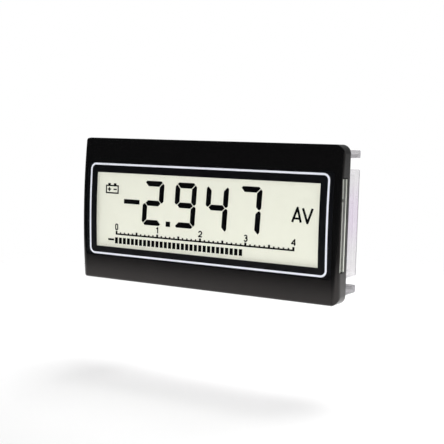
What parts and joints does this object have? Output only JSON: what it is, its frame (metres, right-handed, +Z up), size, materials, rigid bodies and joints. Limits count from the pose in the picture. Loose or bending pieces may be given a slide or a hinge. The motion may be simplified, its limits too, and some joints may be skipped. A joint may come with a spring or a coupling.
{
  "type": "digital panel meter",
  "caption": "Snap-in LCD panel meter with a black bezel, big digits, a bargraph scale and a clear housing behind.",
  "frame": {"origin": "middle of the bezel's rear face, which seats on the front of the panel", "axes": "+X to the right seen from the front, +Y backwards through the panel, +Z up"},
  "size_m": [0.072, 0.0163, 0.036],
  "materials": {
    "bezel_plastic": "black ABS, satin gloss",
    "clear_polycarbonate": "clear polycarbonate, slightly milky",
    "window_clear": "clear polished sheet",
    "black_print": "black ink behind the window",
    "white_print": "white ink behind the window",
    "polariser_film": "clear polariser film",
    "display_glass": "polished display glass",
    "display_field": "pale grey-green cell, seen against its reflector",
    "reflector_film": "satin silver film",
    "display_dark": "dark liquid crystal",
    "display_fine": "dark liquid crystal in thin strokes",
    "cell_seal": "cured epoxy",
    "elastomer": "layered silicone rubber",
    "board": "green solder mask on glass-fibre board",
    "chip_plastic": "black moulding compound",
    "tinned_metal": "tin plate",
    "can_metal": "drawn can",
    "ceramic_tan": "fired ceramic",
    "trimmer_blue": "moulded blue thermoplastic",
    "rotor_plastic": "off-white moulding",
    "gold_plate": "gold-plated square pins"
  },
  "bodies": {
    "meter": {"bezel": "bezel_plastic", "front_window": "window_clear", "window_mask": "black_print", "border_line": "white_print", "lcd_front_polariser": "polariser_film", "lcd_front_glass": "display_glass", "lcd_cell_seal": "cell_seal", "lcd_digits": "display_dark", "lcd_bargraph": "display_dark", "lcd_scale": "display_fine", "lcd_symbols": "display_dark", "lcd_rear_glass": "display_field", "lcd_reflector": "reflector_film", "zebra_strip_top": "elastomer", "zebra_strip_bottom": "elastomer", "clear_housing": "clear_polycarbonate", "circuit_board": "board", "controller_chip": "chip_plastic", "controller_leads": "tinned_metal", "crystal_can": "can_metal", "crystal_base": "chip_plastic", "filter_capacitor_can": "can_metal", "filter_capacitor_base": "chip_plastic", "reference_chip": "chip_plastic", "reference_leads": "tinned_metal", "chip_resistors": "chip_plastic", "chip_capacitors": "ceramic_tan", "chip_part_ends": "tinned_metal", "trimmer_body": "trimmer_blue", "header_body": "chip_plastic", "header_pins": "gold_plate"},
    "rotor": {"trimmer_rotor": "rotor_plastic"}
  },
  "joints": [
    {"name": "calibration_turn", "type": "hinge", "parent": "meter", "child": "rotor", "pos_m": [-0.025, 0.003, 0.0034], "axis": [0, 1, 0], "range_deg": [-130, 130]}
  ]
}
